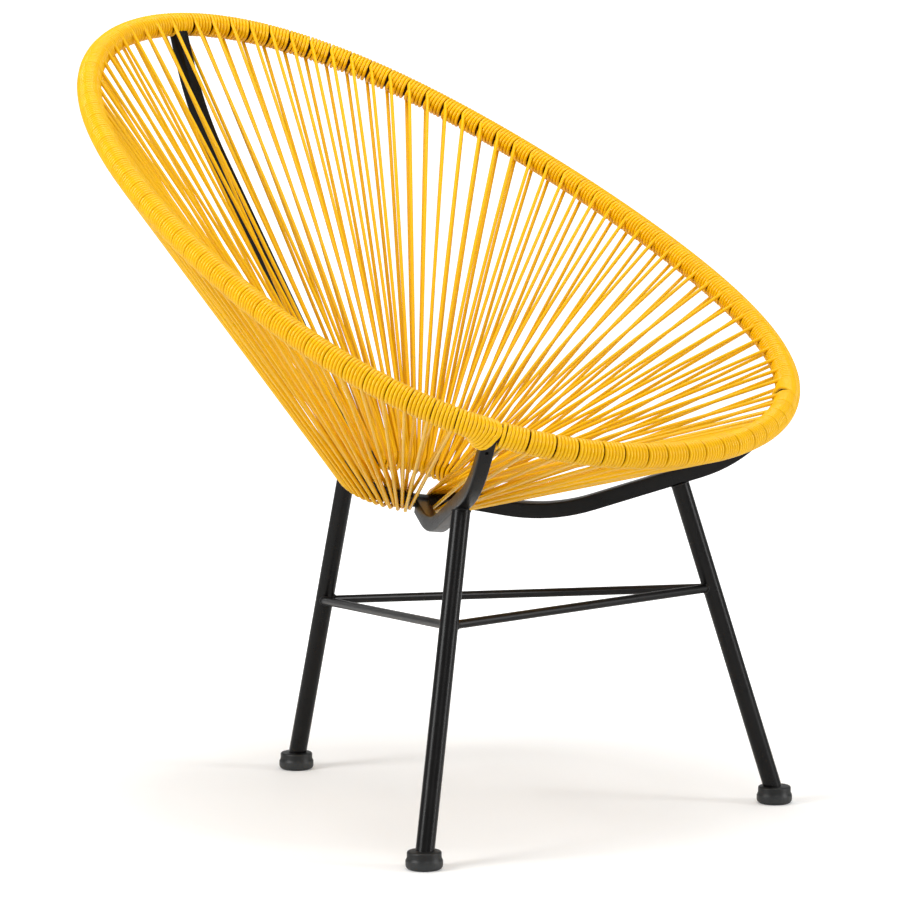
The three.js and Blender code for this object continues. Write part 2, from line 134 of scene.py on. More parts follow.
# Where the side winding fans out over a front strut, along the rim from the strut's middle
FAN_FIRST = 31.0
FAN_LAST = -9.0
FAR_FAN_LAST = -5.0
FAN_LEAN = 22.0
# The last wrap is squared off by this share, and drawn down this far on the strut's outer side.
FAN_SQUARE = 0.5
FAN_DROP = 9.5
# Shares of that drop: over the strut's middle, and gained toward its outer side
FAN_DROP_MIDDLE = 0.7
FAN_DROP_OUTWARD = 0.3
# The front winding begins past the strut, and ends past its last loop.
FRONT_START = 13.0
FRONT_END_ROOM = 1.0

# Legs and brace rods
LEG_RADIUS = 10.5
LEG_SIDES = 40
LEG_STEPS = 24
LEG_IN_FOOT = 2.0
LEG_SPARE = 40.0
ANKLE_HEIGHT = 12.0
FRONT_FOOT = (272.6, -311.0)
BACK_FOOT = (0.0, 221.0)
FRONT_LEG_REACH = 320.0
BACK_LEG_REACH = 96.0
ROD_RADIUS = 5.0
ROD_SIDES = 24
ROD_STEPS = 30
FRONT_ROD_HEIGHT = 255.0
BACK_ROD_HEIGHT = 210.5
BACK_ROD_OFFSET = 3.4

# Feet: a step goes round under the top, and the mouth closes on the leg. The step's pairs say
# how far in and how high, and the mouth's its radius and how far below the top.
FOOT_RADIUS = 20.5
FOOT_TOP_RADIUS = 19.0
FOOT_HEIGHT = 20.5
FOOT_EDGE = 5.0
FOOT_EDGE_STEPS = 8
FOOT_STEP = ((0, 8), (0, 9.5), (0.35, 10.6), (0.95, 11.6))
FOOT_STEP_TOP = 13.2
FOOT_SHOULDER_DROP = 2.7
FOOT_SHOULDER_EDGE = 2.3
FOOT_SHOULDER_STEPS = 6
FOOT_MOUTH = ((13.2, 0.2), (11.6, 0))
FOOT_SIDES = 64
FOOT_CREASE = 50

# Weld beads
WELD_SIDES = 10
WELD_WANDER = 0.9
WELD_GRAIN = 260.0
LEG_BEAD_RADIUS = 0.8
LEG_BEAD_STEPS = 48
LEG_BEAD_SINK = 0.3
ROD_BEAD_RADIUS = 1.3
ROD_BEAD_STEPS = 28
ROD_BEAD_OUT = 0.5

# Stage: a floor that bends up into a wall behind the chair
STAGE_SIZE = 30000.0
STAGE_BEND = 1500.0
STAGE_BEND_STEPS = 16
STAGE_BACK = 3600.0
STAGE_TOP = 9000.0
STAGE_TURN = math.radians(42.3)

# Lights: name, place, what it points at, size and watts, in metres
LIGHTS = (
    ("key", (-3.0, 0.6, 2.0), (0, 0, 0.5), (1.2, 2.2), 74),
    ("side", (1.9, -3.0, 1.3), (0, 0, 0.45), (0.9, 2.2), 50),
    ("front", (-1.6, -3.4, 2.6), (0, 0, 0.5), (1.6, 1.2), 26),
    ("top", (0.2, 0.2, 3.2), (0, 0, 0.5), (2.2, 2.2), 44),
)
WORLD_STRENGTH = 0.36

# Camera: its focal length is in pixels of a picture this wide.
PICTURE_WIDTH = 900
CAMERA_FOCUS = 4940.0
SENSOR_WIDTH = 36
CAMERA_YAW = math.radians(42.2885)
CAMERA_RISE = math.radians(7.1824)
CAMERA_DISTANCE = 5679.0
CAMERA_TARGET = (0, -44, 432.5)
CAMERA_ASIDE = -5.9
CAMERA_DOWN = 22.6

# A point inside the seat, which tells its inside from its outside
SEAT_MIDDLE = Vector((0, 0, 660))


# Middle lines
def rim_at_turn(turn):
    return Vector((
        RIM_HALF_WIDTH * math.sin(turn) + RIM_WIDTH_EGG * math.sin(2 * turn)
        + RIM_WIDTH_FLAT * math.sin(3 * turn),
        RIM_DEPTH_EGG * (math.cos(2 * turn) - 1) + RIM_DEPTH_FLAT * math.cos(3 * turn)
        - RIM_HALF_DEPTH * math.cos(turn),
        RIM_MIDDLE_HEIGHT + RIM_SIDE_SAG * math.cos(2 * turn) - RIM_HALF_RISE * math.cos(turn),
    ))


class Rim:
    """The rim's middle line, measured along it from the front centre by the sitter's left."""

    def __init__(self):
        self.points = [rim_at_turn(FULL_TURN * k / RIM_SAMPLES) for k in range(RIM_SAMPLES + 1)]
        self.places = [0.0]
        for before, after in zip(self.points, self.points[1:]):
            self.places.append(self.places[-1] + (after - before).length)
        self.length = self.places[-1]

    def at(self, place):
        place = place % self.length
        low, high = 0, RIM_SAMPLES
        while high - low > 1:
            middle = (low + high) // 2
            if self.places[middle] <= place:
                low = middle
            else:
                high = middle
        share = (place - self.places[low]) / (self.places[high] - self.places[low])
        return self.points[low].lerp(self.points[high], share)

    def along(self, place):
        """The rim's direction, from a millimetre on either side."""
        return (self.at(place + 1) - self.at(place - 1)).normalized()


rim = Rim()
RIM_HALF = rim.length / 2


def hub_at(turn):
    reach = HUB_RADIUS * math.cos(turn)
    return Vector((
        HUB_RADIUS * math.sin(turn),
        HUB_BACK - reach * math.cos(HUB_TILT),
        HUB_HEIGHT - reach * math.sin(HUB_TILT),
    ))


def hub_along(turn):
    """The hub's direction, from a hundredth of a radian on either side."""
    return (hub_at(turn + 0.01) - hub_at(turn - 0.01)).normalized()


STRUT_HUB_TURN = math.atan2(
    math.sin(STRUT_AZIMUTH) * math.cos(HUB_TILT), math.cos(STRUT_AZIMUTH))


def front_strut_ends():
    hub = hub_at(STRUT_HUB_TURN)
    top = rim.at(STRUT_ON_RIM)
    hub_reach = math.hypot(hub.x, hub.y - HUB_BACK)
    start = Vector((hub_reach + HUB_TUBE_RADIUS - STRUT_COPE, hub.z - STRUT_HUB_DROP))
    return start, Vector((math.hypot(top.x, top.y - HUB_BACK), top.z))


class StrutPlane:
    """A strut's own plane, turned to its azimuth and tilted about the line between its ends."""

    def __init__(self, azimuth, tilt, start, end):
        turned = Matrix.Rotation(azimuth - math.pi / 2, 4, "Z")
        stand = Matrix.Translation((0, HUB_BACK, 0)) @ turned
        foot = Vector((start.x, 0, start.y))
        axis = Vector((end.x, 0, end.y)) - foot
        lean = Matrix.Rotation(tilt, 4, axis.normalized())
        self.matrix = stand @ Matrix.Translation(foot) @ lean @ Matrix.Translation(-foot)
        self.aside = (self.matrix.to_3x3() @ Vector((0, 1, 0))).normalized()

    def point(self, place):
        return self.matrix @ Vector((place.x, 0, place.y))

    def way(self, direction):
        return (self.matrix.to_3x3() @ Vector((direction.x, 0, direction.y))).normalized()


# The cord's path
def across(centre, along, toward):
    """Directions square to a ring: toward a point, and to the inside of the seat."""
    pull = toward - centre
    pull = (pull - along * pull.dot(along)).normalized()
    inside = along.cross(pull).normalized()
    if inside.dot(SEAT_MIDDLE - centre) < 0:
        inside = -inside
    return pull, inside


def strand(rim_end, rim_pull, hub_end, hub_pull):
    """A taut cord between rim and hub, which leaves each square to it and then runs straight."""
    way = (hub_end - rim_end).normalized()
    points = []
    for distance in STRAND_STOPS:
        ease = math.exp(-distance / STRAND_EASE)
        points.append(rim_end + way * distance + (rim_pull - way) * (distance * ease))
    for distance in reversed(STRAND_STOPS):
        ease = math.exp(-distance / STRAND_EASE)
        points.append(hub_end - way * distance + (hub_pull + way) * (distance * ease))
    return points


class Fan:
    """Wraps that lean over a front strut's top, their lower ends gathered on its outer flank."""

    def __init__(self, last):
        self.last = last
        start, rim_end = front_strut_ends()
        plane = StrutPlane(STRUT_AZIMUTH, STRUT_TILT, start, rim_end)
        down = (FRONT_KNEE - rim_end).normalized()
        self.down = plane.way(down)
        self.outward = plane.way(Vector((-down.y, down.x)))

    def share(self, place):
        """How far a wrap has come from the first square one, 0, to the last, 1."""
        past = (STRUT_ON_RIM + FAN_FIRST - place) / (FAN_FIRST - self.last)
        past = min(max(past, 0.0), 1.0)
        return past * past * (3 - 2 * past)

    def moved(self, place, turn):
        """The place along the rim that a leaning wrap has at a turn."""
        return place + self.share(place) * FAN_LEAN * (1 - math.sin(turn)) / 2

    def bent(self, place, offset):
        """A wrap's offset from the rim's middle, squared off and drawn down over the strut."""
        share = self.share(place)
        if share <= 0:
            return offset
        along = rim.along(place)
        down = (self.down - along * self.down.dot(along)).normalized()
        outward = (self.outward - along * self.outward.dot(along))
        outward = (outward - down * outward.dot(down)).normalized()
        over = offset.dot(outward) / WIND_RADIUS
        below = offset.dot(down) / WIND_RADIUS
        if below <= 0:
            return offset
        power = 1 - FAN_SQUARE * share
        over = math.copysign(abs(over) ** power, over)
        sagged = FAN_DROP * share * share * (FAN_DROP_MIDDLE + FAN_DROP_OUTWARD * over)
        return outward * (over * WIND_RADIUS) + down * ((WIND_RADIUS + sagged) * below ** power)


class Stretch:
    """The cord between two struts: where its loops meet the rim and the hub."""

    def __init__(self, rim_places, turns, shift, hub_from, hub_to, wrap_from, wrap_to, fan=None):
        self.rim_places = rim_places
        self.turns = turns
        self.shift = shift
        count = len(rim_places)
        self.hub_turns = [hub_from + (hub_to - hub_from) * k / (count - 1) for k in range(count)]
        self.wrap_from = wrap_from
        self.wrap_to = wrap_to
        self.fan = fan

    def hub_turn(self, place):
        first, last = self.rim_places[0], self.rim_places[-1]
        share = (place - first) / (last - first)
        return self.hub_turns[0] + (self.hub_turns[-1] - self.hub_turns[0]) * share

    def rim_frame(self, place):
        """The rim's middle at a place, the pull toward the hub and the way into the seat."""
        centre = rim.at(place)
        pull, inside = across(centre, rim.along(place), hub_at(self.hub_turn(place)))
        return centre, pull, inside

    def wrap_point(self, place, turn):
        """A point of the winding: turn 0 is outside the seat, a quarter on is away from the hub."""
        start = place
        if self.fan:
            place = self.fan.moved(place, turn)
        centre, pull, inside = self.rim_frame(place)
        offset = inside * (-WIND_RADIUS * math.cos(turn)) - pull * (WIND_RADIUS * math.sin(turn))
        return centre + (self.fan.bent(start, offset) if self.fan else offset)

    def wraps(self, place_from, place_to, turn_from, turn_to, crowd=0.0):
        """Wraps between two places. A crowd draws them toward the nearer loop on the hub's side."""
        steps = max(2, round(abs(turn_to - turn_from) / FULL_TURN * WRAP_STEPS))
        points = []
        for k in range(steps + 1):
            share = k / steps
            turn = turn_from + (turn_to - turn_from) * share
            hub_side = max(0.0, -math.sin(turn))
            toward_loop = 2 * share - 1
            place = place_from + (place_to - place_from) * share + crowd * hub_side * toward_loop
            points.append(self.wrap_point(place, turn))
        return points

    def hub_loop(self, index):
        """The cord down the inside of the seat, round the hub, and back up the outside."""
        place = self.rim_places[index]
        turn = self.hub_turns[index]
        _, pull, _ = self.rim_frame(place)
        start = self.wrap_point(place - self.shift, math.pi)
        end = self.wrap_point(place + self.shift, 0)
        centre = hub_at(turn)
        hub_pull, hub_inside = across(centre, hub_along(turn), rim.at(place))
        reach = HUB_TUBE_RADIUS + CORD_RADIUS + (HUB_RIDE if index % 2 else 0)
        points = strand(start, pull, centre + hub_inside * reach, hub_pull)
        for k in range(1, HUB_STEPS):
            angle = math.pi * k / HUB_STEPS
            inward = hub_inside * (reach * math.cos(angle))
            points.append(centre + inward - hub_pull * (reach * math.sin(angle)))
        points += strand(end, pull, centre - hub_inside * reach, hub_pull)[::-1]
        return points

    def path(self):
        """The whole cord. A flat turn at each end closes the winding beside the strut."""
        spacing = (self.rim_places[1] - self.rim_places[0] - 2 * self.shift) / self.turns[0]
        first = self.rim_places[0] - self.shift
        begin = math.pi - (first - self.wrap_from) / spacing * FULL_TURN
        points = self.wraps(self.wrap_from, self.wrap_from, begin - FULL_TURN, begin)[:-1]
        points += self.wraps(self.wrap_from, first, begin, math.pi)[:-1]
        for index, place in enumerate(self.rim_places):
            points += self.hub_loop(index)
            if index + 1 < len(self.rim_places):
                following = self.rim_places[index + 1]
                full = self.turns[index % len(self.turns)] * FULL_TURN
                points += self.wraps(
                    place + self.shift, following - self.shift, 0, full, EXIT_CROWD)[1:-1]
        last = self.rim_places[-1] + self.shift
        tail = (self.wrap_to - last) / spacing * FULL_TURN
        points += self.wraps(last, self.wrap_to, 0, tail)[1:]
        points += self.wraps(self.wrap_to, self.wrap_to, tail, tail + FULL_TURN)[1:]
        return points


# Materials
class Socket:
    """A shader socket that adds Math nodes when it is used in a sum."""

    def __init__(self, tree, link):
        self.tree = tree
        self.link = link

    def math(self, operation, *values):
        return self.tree.node("ShaderNodeMath", {"operation": operation}, dict(enumerate(values)))

    def __add__(self, other):
        return self.math("ADD", self, other)

    __radd__ = __add__

    def __mul__(self, other):
        return self.math("MULTIPLY", self, other)

    __rmul__ = __mul__

    def __sub__(self, other):
        return self.math("SUBTRACT", self, other)

    def __rsub__(self, other):
        return self.math("SUBTRACT", other, self)

    def between(self, low, high):
        """0 below low, 1 above high, and even between."""
        return self.tree.node("ShaderNodeMapRange", {"clamp": True}, {
            "Value": self, "From Min": low, "From Max": high, "To Min": 0.0, "To Max": 1.0})


class Shader:
    """A material's node tree."""

    def __init__(self, name):
        self.material = bpy.data.materials.new(name)
        self.material.use_nodes = True
        self.nodes = self.material.node_tree.nodes
        self.links = self.material.node_tree.links
        self.nodes.clear()

    def node(self, kind, settings=None, sockets=None, out=0):
        made = self.nodes.new(kind)
        for key, value in (settings or {}).items():
            setattr(made, key, value)
        for key, value in (sockets or {}).items():
            socket = made.inputs[key]
            if isinstance(value, Socket):
                self.links.new(value.link, socket)
            else:
                socket.default_value = value
        return Socket(self, made.outputs[out])

    def object_place(self):
        return self.node("ShaderNodeTexCoord", out="Object")

    def noise(self, scale, detail, roughness):
        return self.node("ShaderNodeTexNoise", {}, {
            "Vector": self.object_place(), "Scale": scale, "Detail": detail,
            "Roughness": roughness}, out="Fac")

    def mix(self, factor, first, second):
        return self.node(
            "ShaderNodeMix", {"data_type": "RGBA"}, {0: factor, 6: first, 7: second}, out=2)

    def bump(self, height, strength, distance):
        return self.node("ShaderNodeBump", {}, {
            "Height": height, "Strength": strength, "Distance": distance})

    def surface(self, **sockets):
        shader = self.node("ShaderNodeBsdfPrincipled", {}, {
            key.replace("_", " "): value for key, value in sockets.items()})
        output = self.nodes.new("ShaderNodeOutputMaterial")
        self.links.new(shader.link, output.inputs["Surface"])
        return self.material


def rgb(red, green, blue):
    """A colour written as it looks on screen, 0 to 255, as the shader takes it."""
    def part(value):
        value /= 255
        return value / 12.92 if value <= 0.04045 else ((value + 0.055) / 1.055) ** 2.4
    return (part(red), part(green), part(blue), 1.0)


def cord_vinyl():
    shader = Shader("satin yellow cord")
    along = shader.node("ShaderNodeAttribute", {"attribute_name": "along"}, out="Fac")
    tone = shader.node("ShaderNodeTexNoise", {"noise_dimensions": "1D"}, {
        "W": along, "Scale": 1.6, "Detail": 3.0, "Roughness": 0.6}, out="Fac")
    mottle = shader.noise(260.0, 3.0, 0.6)
    share = (tone - 0.5) * 1.1 + (mottle - 0.5) * 0.2 + 0.5
    colour = shader.mix(share.between(0.15, 0.85), rgb(238, 180, 0), rgb(247, 193, 2))
    scuff = shader.noise(90.0, 4.0, 0.65)
    ripple = shader.noise(700.0, 2.0, 0.5) * 0.3 + shader.noise(150.0, 1.0, 0.5) * 0.7
    return shader.surface(
        Base_Color=colour, Roughness=scuff.between(0.3, 0.75) * 0.07 + 0.2, Specular_IOR_Level=0.3,
        Normal=shader.bump(ripple, 0.05, 0.0004))


def frame_paint():
    shader = Shader("charcoal powder coat")
    peel = shader.noise(1400.0, 2.0, 0.55)
    wave = shader.noise(220.0, 2.0, 0.5)
    dust = shader.noise(35.0, 5.0, 0.7).between(0.45, 0.8)
    colour = shader.mix(dust * 0.5, rgb(9, 8, 8), rgb(22, 20, 19))
    return shader.surface(
        Base_Color=colour, Roughness=peel * 0.08 + dust * 0.07 + 0.24, Specular_IOR_Level=0.22,
        Normal=shader.bump(peel * 0.6 + wave * 0.4, 0.22, 0.00025))


def rim_painted_bounce():
    """A dark red-brown for the rim, which shows only through the slits of its winding. The
    red-brown is painted warm bounce light from the yellow cord around it.
    """
    shader = Shader("rim under the cord, painted bounce light")
    bounce_mottle = shader.noise(120.0, 4.0, 0.6)
    colour = shader.mix(bounce_mottle.between(0.35, 0.65), rgb(44, 18, 8), rgb(72, 32, 12))
    return shader.surface(Base_Color=colour, Roughness=bounce_mottle * 0.2 + 0.4, Specular_IOR_Level=0.2)


def weld_paint():
    shader = Shader("painted weld")
    ripple = shader.noise(500.0, 3.0, 0.6)
    colour = shader.mix(ripple.between(0.3, 0.7), rgb(12, 12, 13), rgb(26, 25, 26))
    return shader.surface(
        Base_Color=colour, Roughness=ripple * 0.15 + 0.3, Specular_IOR_Level=0.3,
        Normal=shader.bump(ripple, 0.35, 0.0006))


def foot_plastic():
    """Black plastic, a little lighter grey on its lower half."""
    shader = Shader("black foot plastic")
    grain = shader.noise(1800.0, 2.0, 0.6)
    blotch = shader.noise(60.0, 4.0, 0.6)
    height = shader.node("ShaderNodeSeparateXYZ", {}, {0: shader.object_place()}, out="Z")
    # Lighter grey toward the bottom, with a blotchy spread.
    lower_grey = (1 - height.between(0.009, 0.0115)) * (blotch.between(0.3, 0.65) * 0.4 + 0.6)
    colour = shader.mix(lower_grey, rgb(9, 11, 11), rgb(38, 40, 41))
    return shader.surface(
        Base_Color=colour, Roughness=grain * 0.1 + blotch * 0.1 + 0.36, IOR=1.48,
        Normal=shader.bump(grain, 0.2, 0.0002))


# The vent's bore: near-black as painted shade for the hollow tube behind the hole, with a rusty
# mottle.
def bore_painted_shade():
    shader = Shader("unpainted bore in painted shade")
    rust = shader.noise(300.0, 4.0, 0.6)
    colour = shader.mix(rust, rgb(12, 12, 12), rgb(30, 26, 24))
    return shader.surface(Base_Color=colour, Roughness=rust * 0.2 + 0.6)


CORD = cord_vinyl()
PAINT = frame_paint()
# The rim's red-brown is painted bounce light from the cord.
RIM_BOUNCE_LIGHT = rim_painted_bounce()
WELD = weld_paint()
FOOT = foot_plastic()
# The vent bore's near-black is painted shade.
BORE_SHADE = bore_painted_shade()


# Geometry trees
class Tree:
    """A Geometry Nodes tree with named inputs."""

    def __init__(self, name):
        self.tree = bpy.data.node_groups.new(name, "GeometryNodeTree")
        for direction in ("INPUT", "OUTPUT"):
            self.tree.interface.new_socket(
                "Geometry", in_out=direction, socket_type="NodeSocketGeometry")
        self.start = self.tree.nodes.new("NodeGroupInput")
        self.end = self.tree.nodes.new("NodeGroupOutput")

    def input(self, name, kind, default=None):
        socket = self.tree.interface.new_socket(name, in_out="INPUT", socket_type=kind)
        if default is not None:
            socket.default_value = default
        return self.start.outputs[socket.name]

    def node(self, kind, settings=None, sockets=None):
        made = self.tree.nodes.new(kind)
        for key, value in (settings or {}).items():
            setattr(made, key, value)
        for key, value in (sockets or {}).items():
            if isinstance(value, bpy.types.NodeSocket):
                self.tree.links.new(value, made.inputs[key])
            else:
                made.inputs[key].default_value = value
        return made

    def sum(self, operation, first, second):
        made = self.node("ShaderNodeMath", {"operation": operation}, {0: first, 1: second})
        return made.outputs[0]

    def finish(self, geometry):
        self.tree.links.new(geometry, self.end.inputs[0])
        return self.tree


def round_bar_tree():
    """Sweeps a round section along a path, with a small wander in its thickness for welds."""
    made = Tree("round bar along its path")
    radius = made.input("Radius", "NodeSocketFloat", 0.002)
    sides = made.input("Sides", "NodeSocketInt", 12)
    wander = made.input("Thickness wander", "NodeSocketFloat", 0.0)
    grain = made.input("Wander per metre", "NodeSocketFloat", 300.0)
    finish = made.input("Finish", "NodeSocketMaterial")
    path = made.node("GeometryNodeMeshToCurve", {}, {"Mesh": made.start.outputs["Geometry"]})
    place = made.node("GeometryNodeInputPosition")
    ripple = made.node("ShaderNodeTexNoise", {}, {
        "Vector": place.outputs[0], "Scale": grain, "Detail": 1.0})
    centred = made.sum("SUBTRACT", ripple.outputs[0], 0.5)
    share = made.sum("ADD", made.sum("MULTIPLY", centred, wander), 1.0)
    sized = made.node("GeometryNodeSetCurveRadius", {}, {
        "Curve": path.outputs[0], "Radius": share})
    length = made.node("GeometryNodeSplineParameter")
    marked = made.node(
        "GeometryNodeStoreNamedAttribute", {"data_type": "FLOAT", "domain": "POINT"},
        {"Geometry": sized.outputs[0], "Name": "along", "Value": length.outputs["Length"]})
    section = made.node("GeometryNodeCurvePrimitiveCircle", {"mode": "RADIUS"}, {
        "Resolution": sides, "Radius": radius})
    swept = made.node("GeometryNodeCurveToMesh", {}, {
        "Curve": marked.outputs[0], "Profile Curve": section.outputs[0], "Fill Caps": True})
    for socket in swept.inputs:
        if socket.name == "Scale":
            made.tree.links.new(share, socket)
    real = made.node("GeometryNodeRealizeInstances", {}, {0: swept.outputs[0]})
    coated = made.node("GeometryNodeSetMaterial", {}, {
        "Geometry": real.outputs[0], "Material": finish})
    return made.finish(coated.outputs[0])


ROUND_BAR = round_bar_tree()


# Making pieces
def new_object(name, points, edges=(), faces=()):
    mesh = bpy.data.meshes.new(name)
    mesh.from_pydata([tuple(point * MM) for point in points], list(edges), list(faces))
    mesh.update()
    made = bpy.data.objects.new(name, mesh)
    bpy.context.scene.collection.objects.link(made)
    return made


def path_object(name, points, closed):
    edges = [(k, k + 1) for k in range(len(points) - 1)]
    if closed:
        edges.append((len(points) - 1, 0))
    return new_object(name, points, edges)


def evaluated_mesh(source):
    """A plain mesh of what an object's modifiers make."""
    bpy.context.view_layer.update()
    shape = source.evaluated_get(bpy.context.evaluated_depsgraph_get())
    return bpy.data.meshes.new_from_object(shape)


def grown(source, tree, **inputs):
    """Runs a geometry tree on an object and leaves its result as a plain mesh."""
    modifier = source.modifiers.new("made", "NODES")
    modifier.node_group = tree
    for item in tree.interface.items_tree:
        if item.item_type == "SOCKET" and item.in_out == "INPUT" and item.name in inputs:
            modifier[item.identifier] = inputs[item.name]
    result = evaluated_mesh(source)
    source.modifiers.remove(modifier)
    old = source.data
    source.data = result
    bpy.data.meshes.remove(old)
    return source


def facing_out(made):
    """Turns a closed mesh right side out."""
    work = bmesh.new()
    work.from_mesh(made.data)
    if work.calc_volume(signed=True) < 0:
        bmesh.ops.reverse_faces(work, faces=work.faces)
        work.to_mesh(made.data)
    work.free()
    return made


def smooth_by_angle(made, degrees=40.0):
    """Smooth shading, with creases past the given angle kept sharp."""
    work = bmesh.new()
    work.from_mesh(made.data)
    for face in work.faces:
        face.smooth = True
    for edge in work.edges:
        if len(edge.link_faces) == 2:
            edge.smooth = edge.calc_face_angle(0.0) < math.radians(degrees)
    work.to_mesh(made.data)
    work.free()
    return made


def round_bar(name, points, radius, sides, material, closed=False, wander=0.0, grain=300.0):
    made = path_object(name, points, closed)
    grown(made, ROUND_BAR, **{
        "Radius": radius * MM, "Sides": sides, "Thickness wander": wander,
        "Wander per metre": grain, "Finish": material})
    facing_out(made)
    return smooth_by_angle(made)


def placed(made, slot, *nodes):
    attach(made, "root")
    if nodes:
        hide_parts(*nodes)


def mirrored(points):
    return [Vector((-point.x, point.y, point.z)) for point in points]


# Cord
def make_cords():
    gap = STRUT_HUB_GAP / HUB_RADIUS
    back_end = RIM_HALF - CORD_RADIUS
    front = Stretch(
        FRONT_LOOPS, FRONT_TURNS, FRONT_SHIFT, gap - STRUT_HUB_TURN, STRUT_HUB_TURN - gap,
        FRONT_START - STRUT_ON_RIM, FRONT_LOOPS[-1] + FRONT_SHIFT + FRONT_END_ROOM)
    left = Stretch(
        LEFT_LOOPS, SIDE_TURNS, SIDE_SHIFT, STRUT_HUB_TURN + gap, math.pi - gap,
        STRUT_ON_RIM + FAR_FAN_LAST, back_end, Fan(FAR_FAN_LAST))
    right = Stretch(
        RIGHT_LOOPS, SIDE_TURNS, SIDE_SHIFT, STRUT_HUB_TURN + gap, math.pi - gap,
        STRUT_ON_RIM + FAN_LAST, back_end, Fan(FAN_LAST))
    cords = (
        ("front", front.path(), FRONT_SECTORS),
        ("left", left.path(), SIDE_SECTORS),
        ("right", mirrored(right.path()), SIDE_SECTORS),
    )
    for place, points, sectors in cords:
        cord = round_bar(f"wound_cord_{place}", points, CORD_RADIUS, CORD_SIDES, CORD)
        placed(cord, "seat_cord", *[f"cord_{place}_{k}" for k in range(1, sectors + 1)])


# Struts
def bent_line(start, corners, end, trim):
    """A line of straight runs joined by even bends."""
    stops = [start, *corners, end]
    points = [start]
    for index in range(1, len(stops) - 1):
        corner = stops[index]
        before = corner + (stops[index - 1] - corner).normalized() * trim
        after = corner + (stops[index + 1] - corner).normalized() * trim
        for k in range(BEND_STEPS + 1):
            share = k / BEND_STEPS
            rest = 1 - share
            points.append(before * rest ** 2 + corner * (2 * share * rest) + after * share ** 2)
    points.append(end)
    return points


def front_strut():
    """The front strut's line in its own plane, and the two ends that the plane tilts about."""
    start, top = front_strut_ends()
    stop = top + (FRONT_KNEE - top).normalized() * STRUT_RIM_STOP
    return bent_line(start, [FRONT_DIP, FRONT_KNEE], stop, FRONT_TRIM), start, top


def back_strut():
    """The back strut's line in its own plane, and its two ends. It passes below the hub."""
    rim_back = rim.at(RIM_HALF)
    hub_back = hub_at(math.pi)
    along = Vector((math.cos(BACK_LEAN), math.sin(BACK_LEAN)))
    below = Vector((math.sin(BACK_LEAN), -math.cos(BACK_LEAN)))
    depth = HUB_TUBE_RADIUS + WELD_GAP + STRUT_DEPTH / 2
    touch = Vector((hub_back.y - HUB_BACK, hub_back.z)) + below * depth
    knee = touch + along * ((BACK_KNEE_HEIGHT - touch.y) / along.y)
    start = touch + along * ((BACK_TAIL_REACH - touch.x) / along.x)
    top = Vector((rim_back.y - HUB_BACK, rim_back.z))
    stop = top + (knee - top).normalized() * STRUT_RIM_STOP
    return bent_line(start, [knee], stop, BACK_TRIM), start, top


def strut_section():
    """A rectangle with rounded edges: width across the plane, and depth in it."""
    points = []
    corners = ((1, 1), (-1, 1), (-1, -1), (1, -1))
    for quarter, (side, over) in enumerate(corners):
        for k in range(STRUT_EDGE_STEPS + 1):
            angle = math.pi / 2 * (quarter + k / STRUT_EDGE_STEPS)
            points.append((
                side * (STRUT_WIDTH / 2 - STRUT_EDGE) + STRUT_EDGE * math.cos(angle),
                over * (STRUT_DEPTH / 2 - STRUT_EDGE) + STRUT_EDGE * math.sin(angle)))
    return points


def make_strut(name, line, plane):
    section = strut_section()
    points = []
    for index, place in enumerate(line):
        before = line[max(index - 1, 0)]
        after = line[min(index + 1, len(line) - 1)]
        way = (after - before).normalized()
        centre = plane.point(place)
        lift = plane.way(Vector((-way.y, way.x)))
        points += [centre + plane.aside * width + lift * depth for width, depth in section]
    count = len(section)
    faces = []
    for ring in range(len(line) - 1):
        for corner in range(count):
            following = (corner + 1) % count
            faces.append((ring * count + corner, ring * count + following,
                          (ring + 1) * count + following, (ring + 1) * count + corner))
    faces.append(tuple(range(count - 1, -1, -1)))
    faces.append(tuple((len(line) - 1) * count + corner for corner in range(count)))
    made = new_object(name, points, (), faces)
    made.data.materials.append(PAINT)
    facing_out(made)
    return smooth_by_angle(made, STRUT_CREASE)


def vented(strut, plane, top):
    """Drills the small vent into a front strut's outer face, just below its winding."""
    down = (FRONT_KNEE - top).normalized()
    outward = Vector((-down.y, down.x))
    face = top + down * VENT_DROP + outward * (STRUT_DEPTH / 2)
    reaches = (-VENT_DEPTH, -VENT_DEPTH / 2, VENT_DEPTH)
    ends = [plane.point(face + outward * reach) for reach in reaches]
    # The drill leaves its near-black bore, painted shade for the hole's depth, in the strut.
    drill = round_bar("vent_drill", ends, VENT_RADIUS, VENT_SIDES, BORE_SHADE)
    cut = strut.modifiers.new("vent", "BOOLEAN")
    cut.operation, cut.solver, cut.material_mode = "DIFFERENCE", "EXACT", "TRANSFER"
    cut.object = drill
    result = evaluated_mesh(strut)
    strut.modifiers.remove(cut)
    strut.data = result
    bpy.data.objects.remove(drill)
    smooth_by_angle(strut, STRUT_CREASE)


# Legs and feet
def leg_ends(line, plane, foot, reach):
    """A leg's ankle and its top under the strut, and the way down out of the strut there."""
    for before, after in zip(line, line[1:]):
        if min(before.x, after.x) <= reach <= max(before.x, after.x):
            share = (reach - before.x) / (after.x - before.x)
            middle = before.lerp(after, share)
            way = (after - before).normalized()
            break
    below = Vector((way.y, -way.x))
    top = plane.point(middle + below * (STRUT_DEPTH / 2))
    return Vector((foot[0], foot[1], ANKLE_HEIGHT)), top, plane.way(below)


